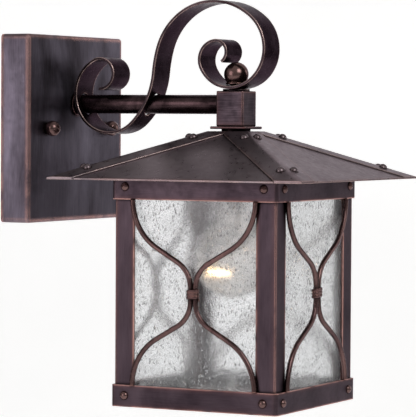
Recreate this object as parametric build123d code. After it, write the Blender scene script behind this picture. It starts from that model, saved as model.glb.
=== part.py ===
from build123d import *

import math
import os

# Outdoor wall lantern: a square wall pan carries a round arm, the arm carries a hub block,
# and a hipped roof with a riveted glass cage hangs under the hub.  Millimetres, +Z up,
# wall plane at Y = 0, the lantern stands out along -Y.  The origin is the centre of the
# crossbar's back face, which is also the centre of the wall pan.

# ---- wall pan and what mounts it -------------------------------------------------------
pan_width = 140.0
pan_height = 140.0
pan_depth = 24.0
pan_wall = 1.2
pan_corner = 3.0            # radius of the four corners seen from the front
pan_edge = 1.8              # folded radius between the front and the sides
gasket_band = 8.0
gasket_thickness = 3.0
bar_length = 104.0
bar_height = 22.0
bar_thickness = 2.5
stud_spacing = 88.9         # 3.5 in between the two studs
stud_diameter = 4.2
stud_clearance = 0.4        # round each stud where it passes the pan
stud_reach = 7.0            # stud standing out of the pan's front
slot_spacing = 69.85        # 2.75 in between the junction box slots
slot_length = 10.0
slot_width = 4.8
stud_nut_flats = 7.0
stud_nut_height = 3.0
cap_ball = 11.7
cap_ball_offset = 5.3       # ball centre in front of the pan
cap_collar_diameter = 8.4
cap_collar_height = 1.4
seat_gap = 0.05             # under each part that turns on a face
thread_gap = 0.05           # radial, round each threaded stud that a part turns on
ground_screw_x = 18.0
ground_screw_diameter = 4.0
ground_head_diameter = 8.0
ground_head_height = 2.2

# ---- arm --------------------------------------------------------------------------------
arm_reach = 160.0           # wall to the lantern's axis
arm_height = 18.5           # arm axis above the origin
arm_diameter = 14.3
arm_wall = 1.4
arm_tail = 5.8              # arm end behind the pan's front sheet
collar_diameter = 18.5
collar_thickness = 2.2
lock_nut_flats = 20.0
lock_nut_height = 4.0

# ---- hub block and the stack above and below it -----------------------------------------
hub_width = 22.0
hub_height = 26.0
hub_wall = 2.0
hub_edge = 0.8
hub_drop = 16.1             # hub's underside below the arm's axis
square_plate_width = 29.0
square_plate_thickness = 2.0
square_plate_edge = 0.9
neck_diameter = 21.5
neck_height = 1.6
spacer_diameter = 20.0
spacer_thickness = 1.5
bolt_diameter = 5.0
bolt_head_flats = 8.0
bolt_head_height = 2.4
bolt_reach = 9.0            # bolt standing above the scroll strap
ball_diameter = 18.3
ball_sink = 0.4             # how far the ball's lowest point is cut off
ball_seat_gap = 0.3         # clears the strap's curve under the turning ball
ball_collar_diameter = 15.5
ball_collar_height = 1.5
ball_collar_rise = 1.3      # collar's underside above the strap's seat
nipple_diameter = 10.0
nipple_bore = 7.0
nipple_rise = 2.0           # nipple end above the hub's inner floor
nipple_nut_flats = 14.0
nipple_nut_height = 2.6

# ---- scroll strap: tangent arcs (radius, turn in degrees) from the point on the hub -----
strap_width = 25.0
strap_thickness = 2.0
strap_hole_gap = 1.0        # round the arm where the strap is pierced
loop_arcs = [(28.3, 89.6), (31.0, 49.6), (48.0, 115.0), (93.7, 10.6)]
tail_arcs = [(59.2, -41.2), (28.8, -196.8), (11.4, -209.8)]
curl_arcs = [(26.1, -62.1), (14.2, -111.8), (8.5, -152.4)]

# ---- roof -------------------------------------------------------------------------------
roof_half = 101.6           # 8 in across the eaves
roof_flat_half = 16.8
roof_rise = 33.3
roof_hem = 1.8
roof_sheet = 1.0
strip_sheet = 1.0
strip_reach = 21.0          # strip's width along the eave, each side of the hip
strip_fold = 12.0           # outer radius of the fold on the hip
strip_seam = 0.1
roof_rivet_head = 6.6
roof_rivet_height = 2.7
roof_rivet_high = 28.0      # distance from the lantern's axis
roof_rivet_low = 84.5
roof_rivet_side = 7.0       # beside the hip

# ---- cage -------------------------------------------------------------------------------
cage_half = 65.0            # outside of the corner posts
cage_top_drop = 16.4        # top band's lower edge below the eave
cage_opening = 134.9        # between the two bands
post_leg = 15.7
post_sheet = 1.5
post_edge = 0.8
band_sheet = 2.0
band_fold = 2.6
bottom_band_height = 16.0
ledge_width = 12.0
ledge_sheet = 2.0
cage_rivet_head = 6.6
cage_rivet_height = 2.4
cage_rivet_inset = 9.0      # rivet from the side edge of each face
top_rivet_rise = 9.4        # above the top band's lower edge
bottom_rivet_drop = 7.7     # below the bottom band's upper edge
rivet_shank = 3.0
rivet_tail = 4.6
rivet_tail_height = 0.8

# ---- glass and clips --------------------------------------------------------------------
glass_thickness = 3.0
glass_overlap = 3.4         # behind each post's leg
glass_rise = 13.0           # above the top band's lower edge
clip_width = 8.0
clip_sheet = 1.0
clip_leg = 11.0
clip_foot = 5.0
clip_side = 32.0

# ---- grille -----------------------------------------------------------------------------
rod_diameter = 3.8
rod_end_lap = 0.2           # rod centre outside the post's inner edge at its ends
rod_waist_gap = 0.1         # between the two rods inside the collar
rod_outer_radius = 40.0
rod_inner_radius = 21.0
rod_upright = 4.78          # straight stretch each side of the waist, inside the collar
wrap_turns = 4
wrap_pitch = 2.3
wrap_thickness = 1.3
wrap_edge = 0.9             # rounding of each turn

# ---- lampholder and bulb ----------------------------------------------------------------
holder_cap_drop = 4.8       # cap's top below the roof's flat
holder_cap_diameter = 38.0
holder_cap_sheet = 2.0
holder_cap_height = 7.0
holder_diameter = 36.0
holder_height = 34.0
holder_floor = 4.0          # porcelain above the bore
shell_sheet = 0.8
shell_inset = 1.0           # shell's rim above the holder's mouth
shell_height = 24.0
bulb_cap_diameter = 26.4
bulb_cap_gap = 0.05
bulb_cap_height = 26.0
bulb_cap_below = 0.5        # cap's rim below the holder
bulb_tip_height = 1.9
bulb_tip_diameter = 9.5
bulb_thread_pitch = 3.6
bulb_thread_depth = 0.7
bulb_thread_turns = 4
bulb_thread_foot = 4.5      # first turn above the cap's rim
bulb_cap_sheet = 0.8
bulb_diameter = 60.0
bulb_length = 105.0
bulb_neck_lap = 0.3         # neck's radius over the cap's root
bulb_neck_straight = 4.0
bulb_shoulder_angle = 35.0  # above the globe's middle, where the round part ends
bulb_glass = 0.9
stem_seal = 3.0             # glass plug inside the cap
stem_foot_radius = 7.0
stem_waist_radius = 4.2
stem_waist_drop = 12.0      # below the cap's rim
stem_tip_radius = 3.4
stem_tip_drop = 26.0
stem_length = 28.0
filament_drop = 50.0
filament_half = 9.0
filament_bow = 6.0
filament_diameter = 1.6
filament_leg_side = 2.2
filament_leg_drop = 24.0
filament_leg_diameter = 0.9
contact_diameter = 9.0
contact_sheet = 1.0
contact_post = 4.0

# ---- leads ------------------------------------------------------------------------------
lead_diameter = 2.0
lead_side = 1.6             # from the arm's axis
lead_depth = 8.0            # in front of the wall, inside the pan
lead_splay = 10.0
lead_bend = 9.0
lead_straight = 12.0        # above the connector
lead_gather = 24.0          # above the connector, where the two leads run side by side
lead_radius_share = 0.45
connector_diameter = 9.0
connector_tip = 6.0
connector_length = 16.0
connector_top = -16.0
earth_side = 26.0
earth_diameter = 1.6
earth_depth = 10.0
earth_straight = 8.0

# ---- places worked out from the sizes ---------------------------------------------------
hub_floor = arm_height - hub_drop
hub_top = hub_floor + hub_height
hub_half = hub_width / 2
neck_top = hub_floor - square_plate_thickness
roof_top = neck_top - neck_height
eave = roof_top - roof_rise
pitch = roof_rise / (roof_half - roof_flat_half)
slope = math.degrees(math.atan(pitch))
slope_stretch = 1 / math.cos(math.radians(slope))
strap_under = hub_top + spacer_thickness
strap_axis = strap_under + strap_thickness / 2
strap_over = strap_under + strap_thickness
band_half = cage_half + band_sheet
top_band_foot = eave - cage_top_drop
bottom_band_top = top_band_foot - cage_opening
bottom_band_foot = bottom_band_top - bottom_band_height
ledge_top = bottom_band_foot + ledge_sheet
under_roof = eave + (roof_half - band_half) * pitch - (strip_sheet + roof_sheet) * slope_stretch
glass_outer = cage_half - post_sheet
glass_inner = glass_outer - glass_thickness
glass_half = cage_half - post_leg + glass_overlap
glass_top = top_band_foot + glass_rise
cage_rivet_side = cage_half - cage_rivet_inset
rod_end_side = cage_half - post_leg + rod_end_lap
waist_side = rod_diameter / 2 + rod_waist_gap / 2
waist_height = (top_band_foot + bottom_band_top) / 2
holder_cap_top = roof_top - holder_cap_drop
holder_top = holder_cap_top - holder_cap_height
holder_foot = holder_top - holder_height
shell_inner = bulb_cap_diameter / 2 + bulb_cap_gap
shell_outer = shell_inner + shell_sheet
bulb_cap_root = bulb_cap_diameter / 2 - bulb_thread_depth
bulb_rim = holder_foot - bulb_cap_below
bulb_tip = bulb_rim + bulb_cap_height + bulb_tip_height

parts = {}


def block(x_span, y_span, z_span):
    """Box between three pairs of coordinates."""
    spans = (x_span, y_span, z_span)
    centre = [(low + high) / 2 for low, high in spans]
    return Pos(*centre) * Box(*[abs(high - low) for low, high in spans])


def along_y(x, z, y_from, y_to, diameter):
    """Round bar along Y."""
    return Pos(x, (y_from + y_to) / 2, z) * Rot(90, 0, 0) * Cylinder(diameter / 2, abs(y_to - y_from))


def along_z(x, y, z_from, z_to, diameter):
    """Round bar along Z."""
    return Pos(x, y, (z_from + z_to) / 2) * Cylinder(diameter / 2, abs(z_to - z_from))


def hex_prism(flats, height):
    """Hexagon bar standing on Z = 0."""
    return extrude(RegularPolygon(flats / math.sqrt(3), 6), height)


def lathe(points):
    """Solid turned round Z from a closed outline of (radius, height) points."""
    outline = Polyline([(radius, 0, height) for radius, height in points], close=True)
    return revolve(make_face(outline), Axis.Z)


def at_lantern(shape):
    """Move a shape modelled round Z to the lantern's axis."""
    return Pos(0, -arm_reach, 0) * shape


def on_side(shape, side):
    """Turn a shape modelled on the lantern's front to one of its four sides."""
    return Rot(0, 0, 90 * side) * shape


# ---- wall side --------------------------------------------------------------------------
def pan_body(inset):
    """Solid pan with rounded corners and a rounded front edge, shrunk by inset."""
    shell = block(
        (-pan_width / 2 + inset, pan_width / 2 - inset),
        (-pan_depth + inset, 0),
        (-pan_height / 2 + inset, pan_height / 2 - inset),
    )
    shell = fillet(shell.edges().filter_by(Axis.Y), pan_corner - inset)
    front = shell.faces().sort_by(Axis.Y)[0]
    return fillet(front.edges(), pan_edge - inset)


def make_pan():
    pan = pan_body(0) - pan_body(pan_wall)
    pan -= along_y(0, arm_height, -pan_depth - 1, -pan_depth + pan_wall + 1, arm_diameter)
    for side in (-1, 1):
        hole = stud_diameter + 2 * stud_clearance
        pan -= along_y(side * stud_spacing / 2, 0, -pan_depth - 1, -pan_depth + pan_wall + 1, hole)
    parts["wall_pan"] = pan


def make_gasket():
    width = pan_width - 2 * pan_wall
    height = pan_height - 2 * pan_wall
    ring = RectangleRounded(width, height, pan_corner - pan_wall)
    ring -= Rectangle(width - 2 * gasket_band, height - 2 * gasket_band)
    parts["pan_gasket"] = Rot(90, 0, 0) * extrude(ring, gasket_thickness)


def make_crossbar():
    bar = RectangleRounded(bar_length, bar_height, pan_corner)
    for side in (-1, 1):
        bar -= Pos(side * stud_spacing / 2, 0) * Circle(stud_diameter / 2)
        bar -= Pos(side * slot_spacing / 2, 0) * SlotOverall(slot_length, slot_width)
    bar -= Pos(ground_screw_x, 0) * Circle(ground_screw_diameter / 2)
    parts["crossbar"] = Rot(90, 0, 0) * extrude(bar, bar_thickness)


def make_studs():
    studs = []
    nuts = []
    for side in (-1, 1):
        x = side * stud_spacing / 2
        studs.append(along_y(x, 0, 0, -pan_depth - stud_reach, stud_diameter))
        nut = hex_prism(stud_nut_flats, stud_nut_height) - Cylinder(stud_diameter / 2, 2 * pan_depth)
        nuts.append(Pos(x, -bar_thickness, 0) * Rot(90, 0, 0) * nut)
    parts["mounting_studs"] = studs
    parts["stud_nuts"] = nuts


def make_cap_nuts():
    bore = stud_diameter / 2 + thread_gap
    bore_depth = stud_reach + seat_gap * 4
    nut = Pos(0, 0, cap_ball_offset) * Sphere(cap_ball / 2)
    nut += along_z(0, 0, seat_gap, cap_collar_height, cap_collar_diameter)
    nut -= block((-cap_ball, cap_ball), (-cap_ball, cap_ball), (-cap_ball, seat_gap))
    nut -= along_z(0, 0, -1, bore_depth, 2 * bore)
    for side, name in ((-1, "cap_nut_left"), (1, "cap_nut_right")):
        parts[name] = Pos(side * stud_spacing / 2, -pan_depth, 0) * Rot(90, 0, 0) * nut


def make_ground_screw():
    screw = along_y(ground_screw_x, 0, 0, -bar_thickness, ground_screw_diameter)
    head_front = -bar_thickness - ground_head_height
    head = along_y(ground_screw_x, 0, -bar_thickness, head_front, ground_head_diameter)
    parts["ground_screw"] = screw + head


def make_arm():
    back = -pan_depth + pan_wall + arm_tail
    hub_back = -arm_reach + hub_half
    front = hub_back - hub_wall
    tube = along_y(0, arm_height, back, front, arm_diameter)
    tube -= along_y(0, arm_height, back + 1, front - 1, arm_diameter - 2 * arm_wall)
    parts["arm_tube"] = tube

    collar = Cylinder(collar_diameter / 2, collar_thickness)
    collar = fillet(collar.edges().sort_by(Axis.Z)[-1], collar_thickness / 2)
    collar -= Cylinder(arm_diameter / 2, 2 * collar_thickness)
    parts["arm_collar"] = Pos(0, -pan_depth - collar_thickness / 2, arm_height) * Rot(90, 0, 0) * collar

    nut = hex_prism(lock_nut_flats, lock_nut_height) - Cylinder(arm_diameter / 2, 3 * lock_nut_height)
    parts["arm_lock_nut"] = Pos(0, -pan_depth + pan_wall + lock_nut_height, arm_height) * Rot(90, 0, 0) * nut


# ---- hub stack --------------------------------------------------------------------------
def make_hub():
    hub = block((-hub_half, hub_half), (-hub_half, hub_half), (hub_floor, hub_top))
    hub = fillet(hub.edges(), hub_edge)
    room = hub_half - hub_wall
    hub -= block((-room, room), (-room, room), (hub_floor + hub_wall, hub_top - hub_wall))
    hub -= along_y(0, arm_height, 0, hub_half + 1, arm_diameter)
    hub -= along_z(0, 0, hub_top - hub_wall - 1, hub_top + 1, bolt_diameter)
    hub -= along_z(0, 0, hub_floor - 1, hub_floor + hub_wall + 1, nipple_diameter)
    parts["hub_block"] = at_lantern(hub)

    plate = block(
        (-square_plate_width / 2, square_plate_width / 2),
        (-square_plate_width / 2, square_plate_width / 2),
        (neck_top, hub_floor),
    )
    plate = fillet(plate.edges(), square_plate_edge)
    parts["square_plate"] = at_lantern(plate - along_z(0, 0, neck_top - 1, hub_floor + 1, nipple_diameter))

    neck = along_z(0, 0, roof_top, neck_top, neck_diameter)
    parts["neck_ring"] = at_lantern(neck - along_z(0, 0, roof_top - 1, neck_top + 1, nipple_diameter))

    spacer = along_z(0, 0, hub_top, strap_under, spacer_diameter)
    parts["scroll_spacer"] = at_lantern(spacer - along_z(0, 0, hub_top - 1, strap_under + 1, bolt_diameter))

    bolt = along_z(0, 0, hub_top - hub_wall, strap_over + bolt_reach, bolt_diameter)
    bolt += Pos(0, 0, hub_top - hub_wall - bolt_head_height) * hex_prism(bolt_head_flats, bolt_head_height)
    parts["finial_bolt"] = at_lantern(bolt)


def make_finial():
    seat = strap_over + ball_seat_gap
    ring_foot = strap_over + ball_collar_rise
    ball = Pos(0, 0, strap_over + ball_diameter / 2 - ball_sink) * Sphere(ball_diameter / 2)
    collar = along_z(0, 0, ring_foot, ring_foot + ball_collar_height, ball_collar_diameter)
    ball += fillet(collar.edges(), ball_collar_height / 3)
    ball -= block((-ball_diameter, ball_diameter), (-ball_diameter, ball_diameter), (hub_floor, seat))
    ball -= along_z(0, 0, hub_floor, strap_over + bolt_reach + 4 * seat_gap, bolt_diameter + 2 * thread_gap)
    parts["ball_finial"] = at_lantern(ball)


def make_nipple():
    top = hub_floor + hub_wall + nipple_rise
    foot = holder_cap_top - holder_cap_sheet
    nipple = along_z(0, 0, foot, top, nipple_diameter)
    nipple -= along_z(0, 0, foot - 1, top + 1, nipple_bore)
    parts["roof_nipple"] = at_lantern(nipple)

    nut_top = roof_top - strip_sheet - roof_sheet
    nut = hex_prism(nipple_nut_flats, nipple_nut_height) - Cylinder(nipple_diameter / 2, 3 * nipple_nut_height)
    parts["nipple_nut"] = at_lantern(Pos(0, 0, nut_top - nipple_nut_height) * nut)


# ---- scroll strap -----------------------------------------------------------------------
def strap_stretch(arcs, heading):
    """Flat outline of the strap along tangent arcs, from its seat on the hub."""
    reach = arm_reach
    height = strap_axis
    half = strap_thickness / 2
    sides = {1: [], -1: []}

    def place(centre, radius, angle):
        return Vector(0, -(centre[0] + radius * math.sin(angle)), centre[1] - radius * math.cos(angle))

    for radius, turn in arcs:
        bend = math.copysign(1, turn)
        sweep_angle = math.radians(turn)
        centre = (
            reach - bend * radius * math.sin(heading),
            height + bend * radius * math.cos(heading),
        )
        for side in (1, -1):
            arm = bend * (radius - side * bend * half)
            points = [place(centre, arm, heading + sweep_angle * share) for share in (0, 0.5, 1)]
            sides[side].append(ThreePointArc(*points))
        heading += sweep_angle
        reach = centre[0] + bend * radius * math.sin(heading)
        height = centre[1] - bend * radius * math.cos(heading)
    start = Line(sides[1][0] @ 0, sides[-1][0] @ 0)
    finish = Line(sides[1][-1] @ 1, sides[-1][-1] @ 1)
    return make_face([*sides[1], *sides[-1], start, finish])


def make_scroll():
    strap = extrude(strap_stretch(loop_arcs + tail_arcs, 0), strap_width / 2, both=True)
    strap += extrude(strap_stretch(curl_arcs, math.pi), strap_width / 2, both=True)
    hole = arm_diameter + 2 * strap_hole_gap
    strap -= along_y(0, arm_height, -pan_depth, -arm_reach + hub_half, hole)
    strap -= Pos(0, -arm_reach, 0) * along_z(0, 0, hub_top, strap_over + 1, bolt_diameter)
    parts["scroll_strap"] = strap


# ---- roof -------------------------------------------------------------------------------
def roof_body(inset, foot):
    """Solid under the roof's surface: a straight hem, four slopes and a flat top."""
    half = roof_half - inset
    low = eave + inset * pitch - inset * slope_stretch
    high = roof_top - inset
    flat = half - (high - low) / pitch
    hem = block((-half, half), (-half, half), (foot, low))
    slopes = loft([
        Pos(0, 0, low) * Rectangle(2 * half, 2 * half),
        Pos(0, 0, high) * Rectangle(2 * flat, 2 * flat),
    ])
    return hem + slopes


def hip_edges(body):
    """The four edges where two slopes meet."""
    return [
        edge for edge in body.edges()
        if abs((edge @ 1 - edge @ 0).Z) > roof_rise / 2
    ]


def rivet(head, height, grip):
    """Round-head rivet: head above Z = 0, shank through the grip, closed tail under it."""
    radius = (head ** 2 / 4 + height ** 2) / (2 * height)
    dome = Pos(0, 0, height - radius) * Sphere(radius)
    dome &= block((-head, head), (-head, head), (0, height))
    shank = along_z(0, 0, -grip, 0, rivet_shank)
    tail = along_z(0, 0, -grip - rivet_tail_height, -grip, rivet_tail)
    return dome + shank + tail


def roof_rivet_places():
    """Where the rivets stand on the front slope, as placed coordinate systems."""
    places = []
    for out in (roof_rivet_high, roof_rivet_low):
        for side in (-1, 1):
            height = eave + (roof_half - out) * pitch
            places.append(Pos(side * (out - roof_rivet_side), -out, height) * Rot(slope, 0, 0))
    return places


def make_roof():
    foot = eave - roof_hem
    skin = roof_body(strip_sheet, foot)
    shell = skin - roof_body(strip_sheet + roof_sheet, foot - 1)
    over = roof_body(0, foot)
    over = fillet(hip_edges(over), strip_fold)
    cover = over - roof_body(strip_sheet, foot - 1)
    grip = strip_sheet + roof_sheet
    drill = Cylinder(rivet_shank / 2, 8 * grip)
    one = rivet(roof_rivet_head, roof_rivet_height, grip)
    rivets = []
    for side in range(4):
        for place in roof_rivet_places():
            hole = on_side(place * drill, side)
            shell -= hole
            cover -= hole
            rivets.append(at_lantern(on_side(place * one, side)))
    middle = along_z(0, 0, foot, roof_top + 1, nipple_diameter)
    shell -= middle
    cover -= middle
    parts["roof_shell"] = at_lantern(shell)
    parts["roof_rivets"] = rivets

    low = strip_seam / 2
    far = roof_half + 1
    band = Polygon(
        (low, low), (strip_reach, low), (far, far - strip_reach),
        (far, far), (far - strip_reach, far), (low, strip_reach),
        align=None,
    )
    stamp = Pos(0, 0, foot - 1) * extrude(band, roof_rise + 2 * roof_hem + 2)
    for side in range(4):
        parts[f"hip_strip_{side + 1}"] = at_lantern(cover & on_side(stamp, side))


# ---- cage -------------------------------------------------------------------------------
def cage_rivet_places():
    places = []
    for side in (-1, 1):
        for height in (top_band_foot + top_rivet_rise, bottom_band_top - bottom_rivet_drop):
            places.append(Pos(side * cage_rivet_side, -band_half, height) * Rot(90, 0, 0))
    return places


def make_cage():
    top_band = RectangleRounded(2 * band_half, 2 * band_half, band_fold)
    top_band -= RectangleRounded(2 * cage_half, 2 * cage_half, post_edge / 2)
    top = Pos(0, 0, top_band_foot) * extrude(top_band, under_roof - top_band_foot)
    foot = Pos(0, 0, bottom_band_foot) * extrude(top_band, bottom_band_height)
    ledge = RectangleRounded(2 * cage_half, 2 * cage_half, post_edge / 2)
    ledge -= Rectangle(2 * (cage_half - ledge_width), 2 * (cage_half - ledge_width))
    foot += Pos(0, 0, bottom_band_foot) * extrude(ledge, ledge_sheet)

    corner = Pos(cage_half - post_leg / 2, cage_half - post_leg / 2) * Rectangle(post_leg, post_leg)
    inner = cage_half - post_sheet
    corner -= Pos(inner - post_leg / 2, inner - post_leg / 2) * Rectangle(post_leg, post_leg)
    post = Pos(0, 0, ledge_top) * extrude(corner, under_roof - ledge_top)
    outer_edge = [e for e in post.edges().filter_by(Axis.Z) if (e @ 0).X + (e @ 0).Y > 2 * cage_half - 0.01]
    post = fillet(outer_edge, post_edge)

    drill = Cylinder(rivet_shank / 2, 8 * band_sheet)
    grip = band_sheet + post_sheet
    holes = [on_side(place * drill, side) for side in range(4) for place in cage_rivet_places()]
    top -= holes
    foot -= holes
    parts["top_band"] = at_lantern(top)
    parts["bottom_band"] = at_lantern(foot)
    for side in range(4):
        parts[f"corner_post_{side + 1}"] = at_lantern(on_side(post, side) - holes)
    one = rivet(cage_rivet_head, cage_rivet_height, grip)
    parts["cage_rivets"] = [
        at_lantern(on_side(place * one, side)) for side in range(4) for place in cage_rivet_places()
    ]


def make_glass():
    pane = block((-glass_half, glass_half), (-glass_outer, -glass_inner), (ledge_top, glass_top))
    clips = []
    for side in range(4):
        parts[f"glass_pane_{side + 1}"] = at_lantern(on_side(pane, side))
        for hand in (-1, 1):
            across = (hand * clip_side - clip_width / 2, hand * clip_side + clip_width / 2)
            behind = (-glass_inner, -glass_inner + clip_sheet)
            low = block(across, behind, (ledge_top, ledge_top + clip_leg))
            low += block(across, (-glass_inner, -glass_inner + clip_foot), (ledge_top, ledge_top + clip_sheet))
            high = block(across, behind, (glass_top - clip_leg, glass_top + clip_sheet))
            high += block(across, (-cage_half, -glass_inner + clip_sheet), (glass_top, glass_top + clip_sheet))
            clips.append(at_lantern(on_side(low, side)))
            clips.append(at_lantern(on_side(high, side)))
    parts["glass_clips"] = clips


# ---- grille -----------------------------------------------------------------------------
def rod_path(hand):
    """Centre line of one rod's upper half on the front: up from the waist, out, and up again."""
    plane_y = -cage_half - rod_diameter / 2
    half_height = (top_band_foot - bottom_band_top) / 2
    both_radii = rod_outer_radius + rod_inner_radius
    across = rod_end_side - waist_side - both_radii
    rise = half_height - rod_upright
    straight = math.sqrt(across ** 2 + rise ** 2 - both_radii ** 2)
    lean = math.atan2(across, rise) + math.atan2(both_radii, straight)

    def spot(side, height):
        return Vector(hand * side, plane_y, waist_height + height)

    def inner(angle):
        """Point on the bend that leaves the waist."""
        return spot(
            waist_side + rod_inner_radius * (1 - math.cos(angle)),
            rod_upright + rod_inner_radius * math.sin(angle),
        )

    def outer(angle):
        """Point on the bend that ends at the band."""
        return spot(
            rod_end_side - rod_outer_radius * (1 - math.cos(angle)),
            half_height - rod_outer_radius * math.sin(angle),
        )

    return Wire([
        Line(spot(waist_side, 0), inner(0)),
        ThreePointArc(inner(0), inner(lean / 2), inner(lean)),
        Line(inner(lean), outer(lean)),
        ThreePointArc(outer(lean), outer(lean / 2), outer(0)),
    ])


def make_grille():
    rods = {}
    for hand, letter in ((-1, "a"), (1, "b")):
        path = rod_path(hand)
        section = Plane(origin=path @ 0, z_dir=path % 0) * Circle(rod_diameter / 2)
        upper = sweep(section, path=path)
        lower = mirror(upper, Plane.XY.offset(waist_height))
        rods[letter] = upper + lower
    stadium = SlotCenterToCenter(2 * waist_side, rod_diameter + 2 * wrap_thickness)
    turn = extrude(stadium, wrap_pitch / 2, both=True)
    flats = turn.faces().sort_by(Axis.Z)
    turn = fillet(flats[0].edges() + flats[-1].edges(), wrap_edge)
    core = SlotCenterToCenter(2 * waist_side, rod_diameter)
    wrap = []
    for number in range(wrap_turns):
        rise = (number - (wrap_turns - 1) / 2) * wrap_pitch
        wrap.append(Pos(0, -cage_half - rod_diameter / 2, waist_height + rise) * turn)
    collar = wrap[0]
    for ring in wrap[1:]:
        collar += ring
    reach = wrap_turns * wrap_pitch
    bore = extrude(core, reach, both=True)
    collar -= Pos(0, -cage_half - rod_diameter / 2, waist_height) * bore
    for side in range(4):
        for letter, rod in rods.items():
            parts[f"grille_rod_{side + 1}{letter}"] = at_lantern(on_side(rod, side))
        parts[f"rod_collar_{side + 1}"] = at_lantern(on_side(collar, side))


# ---- lampholder and bulb ----------------------------------------------------------------
def make_holder():
    cap = along_z(0, 0, holder_top, holder_cap_top, holder_cap_diameter)
    cap = fillet(cap.edges().sort_by(Axis.Z)[-1], holder_cap_sheet)
    room = holder_cap_diameter - 2 * holder_cap_sheet
    cap -= along_z(0, 0, holder_top - 1, holder_cap_top - holder_cap_sheet, room)
    cap -= along_z(0, 0, holder_top, holder_cap_top + 1, nipple_diameter)
    parts["holder_cap"] = at_lantern(cap)

    body = along_z(0, 0, holder_foot, holder_top, holder_diameter)
    body -= along_z(0, 0, holder_foot - 1, holder_top - holder_floor, 2 * shell_outer)
    body -= along_z(0, 0, holder_top - holder_floor - 1, holder_top + 1, contact_post)
    parts["holder_body"] = at_lantern(body)

    shell_foot = holder_foot + shell_inset
    shell = along_z(0, 0, shell_foot, shell_foot + shell_height, 2 * shell_outer)
    shell -= along_z(0, 0, shell_foot - 1, shell_foot + shell_height + 1, 2 * shell_inner)
    parts["holder_shell"] = at_lantern(shell)

    contact = along_z(0, 0, bulb_tip, bulb_tip + contact_sheet, contact_diameter)
    contact += along_z(0, 0, bulb_tip + contact_sheet, holder_top, contact_post)
    parts["holder_contact"] = at_lantern(contact)


def bulb_body(inset):
    """Bulb glass as a solid, shrunk by inset, open at the neck."""
    radius = bulb_diameter / 2 - inset
    neck = bulb_cap_root + bulb_neck_lap - inset
    centre = bulb_tip - bulb_length + bulb_diameter / 2
    join = math.radians(bulb_shoulder_angle)
    shoulder = (radius * math.cos(join), 0, centre + radius * math.sin(join))
    neck_foot = (neck, 0, bulb_rim - bulb_neck_straight)
    belly = -join
    outline = [
        ThreePointArc(
            (0, 0, centre - radius),
            (radius * math.cos(belly), 0, centre + radius * math.sin(belly)),
            shoulder,
        ),
        Spline(shoulder, neck_foot, tangents=[(-math.sin(join), 0, math.cos(join)), (0, 0, 1)]),
        Line(neck_foot, (neck, 0, bulb_rim)),
        Line((neck, 0, bulb_rim), (0, 0, bulb_rim)),
        Line((0, 0, bulb_rim), (0, 0, centre - radius)),
    ]
    return revolve(make_face(outline), Axis.Z)


def make_bulb():
    parts["bulb_globe"] = at_lantern(bulb_body(0) - bulb_body(bulb_glass))

    ridges = bulb_thread_turns * bulb_thread_pitch
    shoulder = bulb_rim + bulb_thread_foot + ridges
    top = bulb_rim + bulb_cap_height
    cap = along_z(0, 0, bulb_rim, shoulder, 2 * bulb_cap_root)
    for number in range(bulb_thread_turns):
        height = bulb_rim + bulb_thread_foot + number * bulb_thread_pitch
        cap += Pos(0, 0, height) * Torus(bulb_cap_root, bulb_thread_depth)
    cap += lathe([(0, shoulder), (bulb_cap_root, shoulder), (bulb_tip_diameter / 2, top), (0, top)])
    cap += along_z(0, 0, top, bulb_tip, bulb_tip_diameter)
    room = bulb_cap_root - bulb_cap_sheet
    cap -= along_z(0, 0, bulb_rim - 1, shoulder, 2 * room)
    parts["bulb_cap"] = at_lantern(cap)

    stem = lathe([
        (0, bulb_rim + stem_seal), (room, bulb_rim + stem_seal), (room, bulb_rim),
        (stem_foot_radius, bulb_rim), (stem_waist_radius, bulb_rim - stem_waist_drop),
        (stem_tip_radius, bulb_rim - stem_tip_drop), (0, bulb_rim - stem_length),
    ])
    coil_height = bulb_rim - filament_drop
    for hand in (-1, 1):
        leg = Line(
            (hand * filament_leg_side, 0, bulb_rim - filament_leg_drop),
            (hand * filament_half, 0, coil_height),
        )
        stem += sweep(Plane(origin=leg @ 0, z_dir=leg % 0) * Circle(filament_leg_diameter / 2), path=leg)
    coil = ThreePointArc(
        (-filament_half, 0, coil_height),
        (0, -filament_bow, coil_height),
        (filament_half, 0, coil_height),
    )
    stem += sweep(Plane(origin=coil @ 0, z_dir=coil % 0) * Circle(filament_diameter / 2), path=coil)
    parts["bulb_stem"] = at_lantern(stem)


# ---- leads ------------------------------------------------------------------------------
def corner_radius(before, corner, after, limit):
    """Largest tidy bend at a corner, up to a limit."""
    run = min((corner - before).length, (after - corner).length)
    turn = math.radians((corner - before).get_angle(after - corner))
    return min(limit, lead_radius_share * run / math.tan(turn / 2))


def lead_tube(points, diameter, limit):
    """Round lead along straight runs joined by tangent arcs."""
    spots = [Vector(*point) for point in points]
    radii = [corner_radius(*spots[i - 1:i + 2], limit) for i in range(1, len(spots) - 1)]
    path = FilletPolyline(*spots, radius=radii)
    section = Plane(origin=path @ 0, z_dir=path % 0) * Circle(diameter / 2)
    tube = sweep(section, path=path)
    expected = math.pi * diameter ** 2 / 4 * path.length
    share = round(tube.volume / expected, 3)
    print("lead radii", [round(radius, 1) for radius in radii], "volume share", share)
    return tube


def connector(x, depth):
    """Twist-on connector, mouth up."""
    cone = lathe([
        (0, connector_top), (connector_diameter / 2, connector_top),
        (connector_tip / 2, connector_top - connector_length), (0, connector_top - connector_length),
    ])
    return Pos(x, -depth, 0) * cone


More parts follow.
